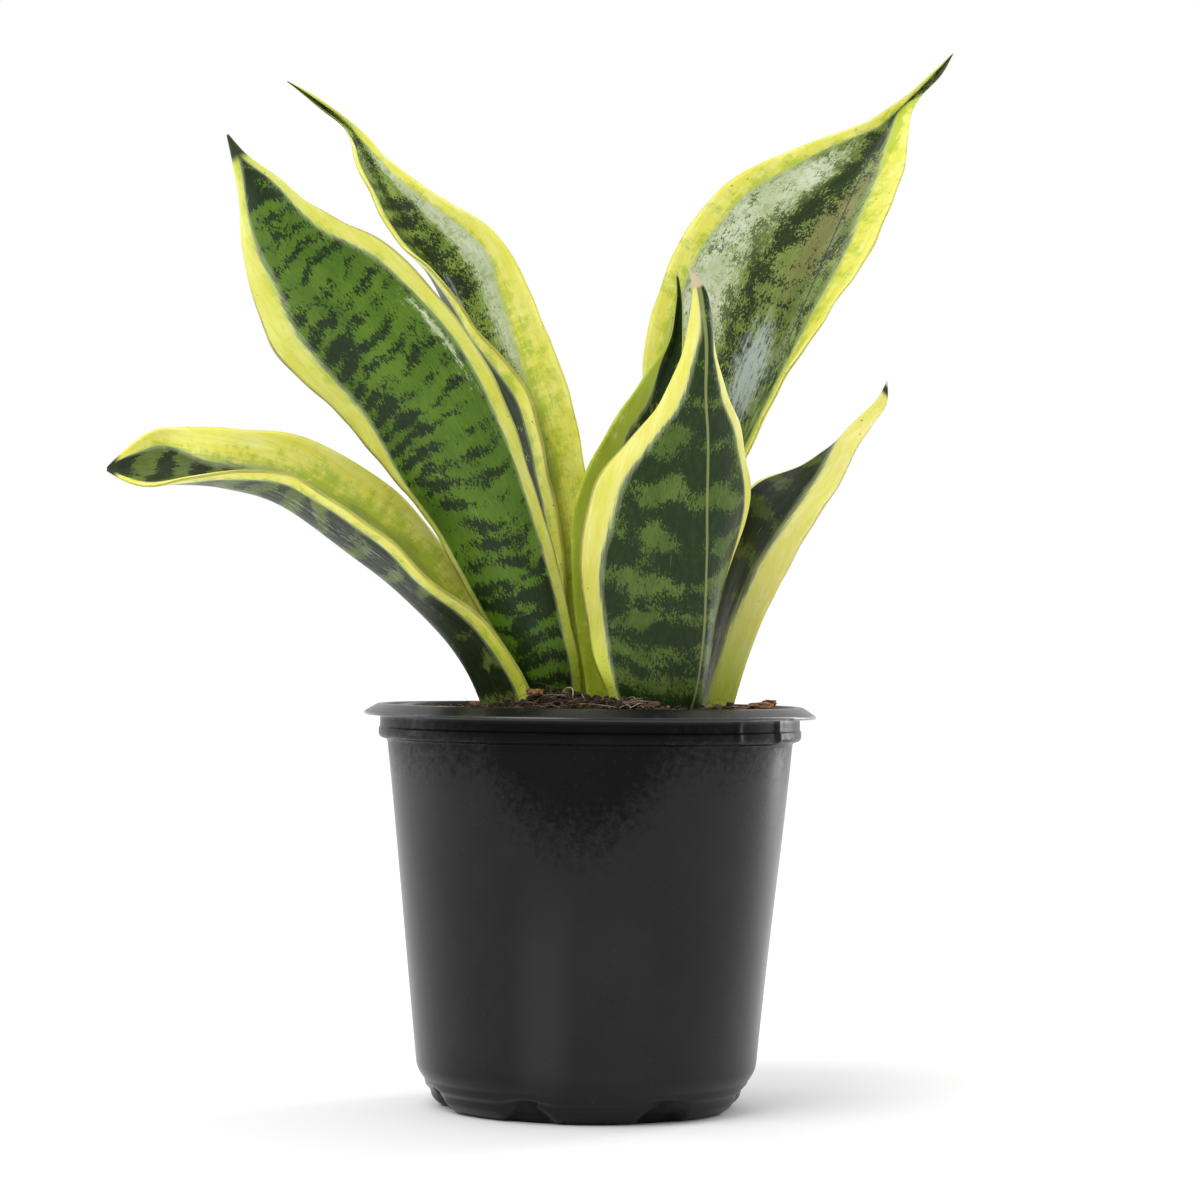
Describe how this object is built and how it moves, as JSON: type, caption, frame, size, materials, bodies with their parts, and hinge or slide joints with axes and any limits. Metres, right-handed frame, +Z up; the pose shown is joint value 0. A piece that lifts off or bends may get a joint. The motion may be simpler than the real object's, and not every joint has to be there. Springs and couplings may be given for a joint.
{
  "type": "potted snake plant",
  "caption": "Variegated snake plant with broad channelled leaves standing in soil in a round ribbed-rim nursery pot with drainage notches.",
  "frame": {"origin": "centre of the flat underside of the pot, on the surface it stands on", "axes": "+Z up along the pot's axis, -Y towards the front of the plant, +X towards the side where the tallest leaf leans"},
  "size_m": [0.3017, 0.16, 0.3864],
  "materials": {
    "nursery_pot": "semi-gloss black moulded polypropylene",
    "potting_soil": "moist peat and bark mix",
    "top_soil": "loose crumbs of peat, bark and fibre",
    "rhizome": "fleshy orange-tan underground stem",
    "root": "pale wiry root",
    "leaf_low_left": "waxy green leaf with yellow margins",
    "leaf_front_left": "waxy green leaf with dark cross-bands and yellow margins",
    "leaf_back_left": "waxy pale green leaf with yellow margins",
    "leaf_tall_right": "waxy pale green leaf with dark centre and yellow margins",
    "leaf_centre": "waxy green leaf with yellow margins",
    "leaf_front_right": "waxy dark green leaf with cross-bands and yellow margins",
    "leaf_low_right": "waxy dark green leaf with a broad yellow margin",
    "bark_chip": "rough composted bark"
  },
  "bodies": {
    "root": {"nursery_pot": "nursery_pot", "potting_soil": "potting_soil", "top_soil": "top_soil", "rhizome": "rhizome", "root_1": "root", "root_2": "root", "root_3": "root", "root_4": "root", "leaf_low_left": "leaf_low_left", "leaf_front_left": "leaf_front_left", "leaf_back_left": "leaf_back_left", "leaf_tall_right": "leaf_tall_right", "leaf_centre": "leaf_centre", "leaf_front_right": "leaf_front_right", "leaf_low_right": "leaf_low_right", "bark_chip_1": "bark_chip", "bark_chip_2": "bark_chip", "bark_chip_3": "bark_chip", "bark_chip_4": "bark_chip", "bark_chip_5": "bark_chip", "bark_chip_6": "bark_chip"}
  },
  "joints": []
}
